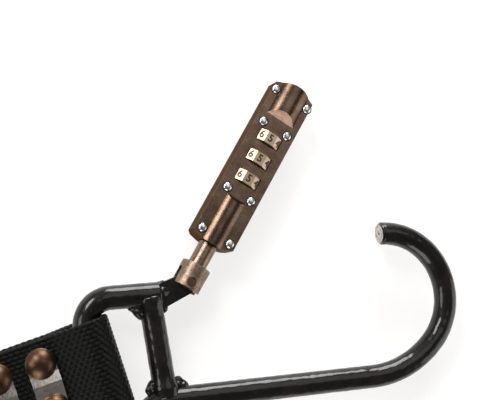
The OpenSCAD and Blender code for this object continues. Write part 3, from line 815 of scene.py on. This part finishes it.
def build_end_ring():
    out, half, k = RING_LEN + 2 * RING_R, (RING_W + 2 * RING_R) / 2, RING_CORNER
    # Round from the middle of the outer bar, then turned over so that X runs back to the roll
    path = [(-x, y) for x, y in joined(
        line((out, 0), (out, half - k), 1.2),
        arc((out - k, half - k), k, 0, 90, 1.0),
        line((out - k, half), (k, half), 1.2),
        arc((k, half - k), k, 90, 180, 1.0),
        line((0, half - k), (0, k - half), 1.2),
        arc((k, k - half), k, 180, 270, 1.0),
        line((k, -half), (out - k, -half), 1.2),
        arc((out - k, k - half), k, 270, 360, 1.0),
        line((out, k - half), (out, 0), 1.2),
    )]
    length = sum(math.dist(a, b) for a, b in zip(path, path[1:]))

    def seam(run):
        from_seam = min(run, length - run)
        return RING_R - 0.06 + 0.28 * math.exp(-(from_seam / 0.9) ** 2)

    verts, faces = rod_mesh(path, seam, 32, 0.13)
    piece("end_ring_skin", placed(FAR, verts), faces, "end_ring", ["coat"], ["end_ring"])


# ---------- finishes of the CAD nodes that stay ----------

NODE_FINISH = {
    "pivot_tang": ("tang", 0.5), "pivot_pin": ("pin", 0.3), "pivot_collar": ("collar", 0.3),
    "plunger_rod": ("plunger", 0.15), "plunger_clip": ("spring", 0.08),
    "rear_case": ("case", 0.35), "front_cover": ("cover", 0.38), "plunger_bush": ("brass", 0.15),
    "socket_liner": ("bare", 0.1), "detent_spring": ("spring", 0.05),
    "number_wheel_1": ("wheel", 0.16), "number_wheel_2": ("wheel", 0.16), "number_wheel_3": ("wheel", 0.16),
    "wheel_hub_1": ("brass", 0.1), "wheel_hub_2": ("brass", 0.1), "wheel_hub_3": ("brass", 0.1),
    "clamp_plates_front": ("plate", 0.14), "clamp_plates_back": ("plate", 0.14),
    "end_plates_front": ("plate", 0.14), "end_plates_back": ("plate", 0.14),
}


def finish_nodes():
    for name, (mat, width) in NODE_FINISH.items():
        obj = frame["nodes"][name]
        obj.data.materials.clear()
        obj.data.materials.append(MAT[mat])
        # The cover and case take the lighter bronze on their rounded edges, a painted edge highlight
        if mat in ("cover", "case"):
            obj.data.materials.append(MAT["edge"])
        rounding = obj.modifiers.new("rounded_edges", "BEVEL")
        rounding.width = width * MM
        rounding.segments = 2
        rounding.limit_method = "ANGLE"
        rounding.angle_limit = math.radians(32)
        rounding.harden_normals = True
        rounding.material = len(obj.data.materials) - 1
        flat = obj.modifiers.new("even_shading", "WEIGHTED_NORMAL")
        flat.weight, flat.keep_sharp = 80, True


# ---------- stage, light and camera ----------


def build_stage():
    size = 3.0
    mesh = bpy.data.meshes.new("floor")
    corners = [(-size, -size, 0), (size, -size, 0), (size, size, 0), (-size, size, 0)]
    mesh.from_pydata(corners, [], [(0, 1, 2, 3)])
    floor = bpy.data.objects.new("floor", mesh)
    bpy.context.scene.collection.objects.link(floor)
    pale, _, shader = new_material("pale_floor", (0.36, 0.355, 0.35), 0.0, 0.7, spec=0.1)
    shader.inputs["Emission Color"].default_value = (1, 0.995, 0.985, 1)
    shader.inputs["Emission Strength"].default_value = 0.72
    mesh.materials.append(pale)
    floor.location.z = -0.0002

    world = bpy.data.worlds.new("studio")
    world.use_nodes = True
    back = world.node_tree.nodes["Background"]
    back.inputs["Color"].default_value = (1, 0.99, 0.98, 1)
    back.inputs["Strength"].default_value = 0.12
    bpy.context.scene.world = world

    centre = Vector(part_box("rear_case")[0])
    for name, offset, size, power, mirrored in (
        ("key", (-0.55, 0.75, 0.75), 0.5, 8.0, True),
        ("ceiling", (0.34, 0.38, 0.87), 0.7, 1.3, True),
        ("back", (0.3, 1.0, 0.28), 0.6, 11.0, True),
        ("left", (-1.0, 0.1, 0.55), 0.6, 4.0, True),
        ("fill", (1.0, -0.3, 0.32), 0.8, 2.8, True),
        ("front", (-0.35, -1.0, 0.32), 0.8, 6.5, True),
    ):
        lamp = bpy.data.lights.new(name, "AREA")
        lamp.shape, lamp.size, lamp.energy = "DISK", size, power
        obj = bpy.data.objects.new(name, lamp)
        bpy.context.scene.collection.objects.link(obj)
        obj.location = centre + Vector(offset)
        obj.visible_glossy = mirrored
        obj.rotation_euler = (-Vector(offset)).to_track_quat("-Z", "Y").to_euler()


# The photograph's view: direction, upright and distance, aimed beside the lock's case
VIEW = Vector((0.33907, 0.08454, -0.93696))
VIEW_UP = Vector((0.05221, 0.99273, 0.10846))
VIEW_DISTANCE = 0.5
LENS_MM = 84.96
AIM_FROM_CORNER = Vector((-0.09309, 0.05174, 0.0104))


def build_camera():
    lo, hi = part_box("hook_rod")
    target = Vector((hi.x, (lo.y + hi.y) / 2, 0)) + AIM_FROM_CORNER
    back = -VIEW.normalized()
    right = VIEW_UP.cross(back).normalized()
    up = back.cross(right)
    data = bpy.data.cameras.new("camera")
    data.lens, data.sensor_width, data.clip_start = LENS_MM, 36, 0.01
    camera = bpy.data.objects.new("camera", data)
    bpy.context.scene.collection.objects.link(camera)
    camera.matrix_world = Matrix.Translation(target + back * VIEW_DISTANCE) @ Matrix(
        (right, up, back)).transposed().to_4x4()
    bpy.context.scene.camera = camera


build_camera()
build_rods()
build_welds()
build_digits()
build_cover_rivets()
build_webbing()
build_big_rivets()
build_end_ring()
finish_nodes()
build_stage()
bpy.context.scene.view_settings.view_transform = "Standard"
